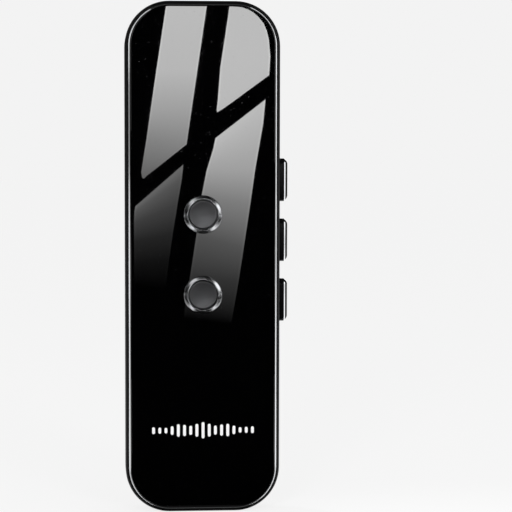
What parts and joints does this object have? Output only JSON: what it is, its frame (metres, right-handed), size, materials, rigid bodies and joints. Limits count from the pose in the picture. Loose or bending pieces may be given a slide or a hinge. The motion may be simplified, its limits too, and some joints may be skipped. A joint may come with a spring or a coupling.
{
  "type": "handheld translator",
  "caption": "Slim bar-shaped handheld voice translator with a glossy front, ringed round buttons, side buttons, a speaker grille in its back and a charging port.",
  "frame": {"origin": "centre of the flat face at the bottom end, midway between the front and the back", "axes": "+Z along the body from its bottom end to its top end; the front panel faces -Y and the back cover +Y; +X is the side with the side buttons, on the right from the front"},
  "size_m": [0.0449, 0.0113, 0.14],
  "materials": {
    "gloss_black_panel": "glossy black panel, clear coated",
    "satin_black_plastic": "satin moulded black",
    "bright_trim": "bright plated chamfer",
    "fine_grain_black": "fine-grained matte",
    "turned_ring_metal": "turned and polished",
    "satin_grey_cap": "satin anodised, bright edge",
    "gloss_black_button": "polished black",
    "adhesive_tape": "foam adhesive tape",
    "soft_rubber": "moulded rubber",
    "switch_black": "moulded switch body",
    "switch_cream": "moulded plunger",
    "board_green": "solder-masked board",
    "chip_black": "moulded chip package",
    "bright_can": "stamped metal can",
    "inductor_grey": "pressed powder",
    "ceramic_tan": "fired ceramic",
    "ceramic_white": "fired ceramic",
    "lamp_white": "moulded lamp package",
    "clear_pipe": "clear moulded pipe",
    "port_steel": "nickel-plated steel",
    "contact_gold": "gold-plated contacts",
    "cell_foil": "laminated pouch foil",
    "protection_amber": "amber tape over a small board",
    "tape_white": "double-sided tape",
    "lead_red": "insulated lead",
    "lead_black": "insulated lead",
    "plug_white": "moulded plug and header",
    "mesh_black": "fine dust mesh",
    "basket_black": "stamped and coated basket",
    "magnet_nickel": "nickel-plated magnet",
    "yoke_steel": "plated steel yoke",
    "coil_copper": "wound enamelled copper",
    "cone_black": "formed film",
    "surround_black": "formed rubber",
    "screw_steel": "zinc-plated steel"
  },
  "bodies": {
    "housing": {"front_panel": "gloss_black_panel", "front_panel_tape": "adhesive_tape", "front_trim": "bright_trim", "mid_frame": "satin_black_plastic", "rear_trim": "bright_trim", "back_cover": "fine_grain_black", "upper_button_ring": "turned_ring_metal", "lower_button_ring": "turned_ring_metal", "upper_switch_body": "switch_black", "lower_switch_body": "switch_black", "volume_up_switch_body": "switch_black", "volume_down_switch_body": "switch_black", "power_switch_body": "switch_black", "main_board": "board_green", "bluetooth_chip": "chip_black", "flash_memory_chip": "chip_black", "audio_amplifier_chip": "chip_black", "charger_chip": "chip_black", "crystal": "bright_can", "power_inductor": "inductor_grey", "board_passives": "ceramic_tan", "chip_antenna": "ceramic_white", "status_led": "lamp_white", "light_pipe": "clear_pipe", "usb_shell": "port_steel", "usb_tongue": "switch_black", "usb_contacts": "contact_gold", "microphone_capsule": "bright_can", "microphone_boot": "soft_rubber", "microphone_leads": "lead_red", "battery_cell": "cell_foil", "battery_protection_board": "protection_amber", "battery_tape": "tape_white", "battery_foam": "adhesive_tape", "battery_red_lead": "lead_red", "battery_black_lead": "lead_black", "battery_plug": "plug_white", "battery_header": "plug_white", "speaker_mesh": "mesh_black", "speaker_gasket": "adhesive_tape", "speaker_basket": "basket_black", "speaker_yoke": "yoke_steel", "speaker_magnet": "magnet_nickel", "speaker_surround": "surround_black", "speaker_leads": "lead_red", "case_screws": "screw_steel", "board_screws": "screw_steel"},
    "upper_front_button": {"upper_button": "satin_grey_cap", "upper_switch_plunger": "switch_cream"},
    "lower_front_button": {"lower_button": "satin_grey_cap", "lower_switch_plunger": "switch_cream"},
    "volume_up": {"volume_up_button": "gloss_black_button", "volume_up_plunger": "switch_cream"},
    "volume_down": {"volume_down_button": "gloss_black_button", "volume_down_plunger": "switch_cream"},
    "power": {"power_button": "gloss_black_button", "power_plunger": "switch_cream"},
    "speaker_cone": {"speaker_diaphragm": "cone_black", "speaker_voice_coil": "coil_copper"}
  },
  "joints": [
    {"name": "upper_button_press", "type": "slide", "parent": "housing", "child": "upper_front_button", "axis": [0, 1, 0], "range_m": [0, 0.00035], "stiffness_N_per_m": 4000, "springref_m": -0.0001},
    {"name": "lower_button_press", "type": "slide", "parent": "housing", "child": "lower_front_button", "axis": [0, 1, 0], "range_m": [0, 0.00035], "stiffness_N_per_m": 4000, "springref_m": -0.0001},
    {"name": "volume_up_press", "type": "slide", "parent": "housing", "child": "volume_up", "axis": [-1, 0, 0], "range_m": [0, 0.00035], "stiffness_N_per_m": 4000, "springref_m": -0.0001},
    {"name": "volume_down_press", "type": "slide", "parent": "housing", "child": "volume_down", "axis": [-1, 0, 0], "range_m": [0, 0.00035], "stiffness_N_per_m": 4000, "springref_m": -0.0001},
    {"name": "power_press", "type": "slide", "parent": "housing", "child": "power", "axis": [-1, 0, 0], "range_m": [0, 0.00035], "stiffness_N_per_m": 4000, "springref_m": -0.0001},
    {"name": "speaker_cone_stroke", "type": "slide", "parent": "housing", "child": "speaker_cone", "axis": [0, 1, 0], "range_m": [-0.0003, 0.0003], "stiffness_N_per_m": 1500, "deforming": ["speaker_surround"]}
  ]
}
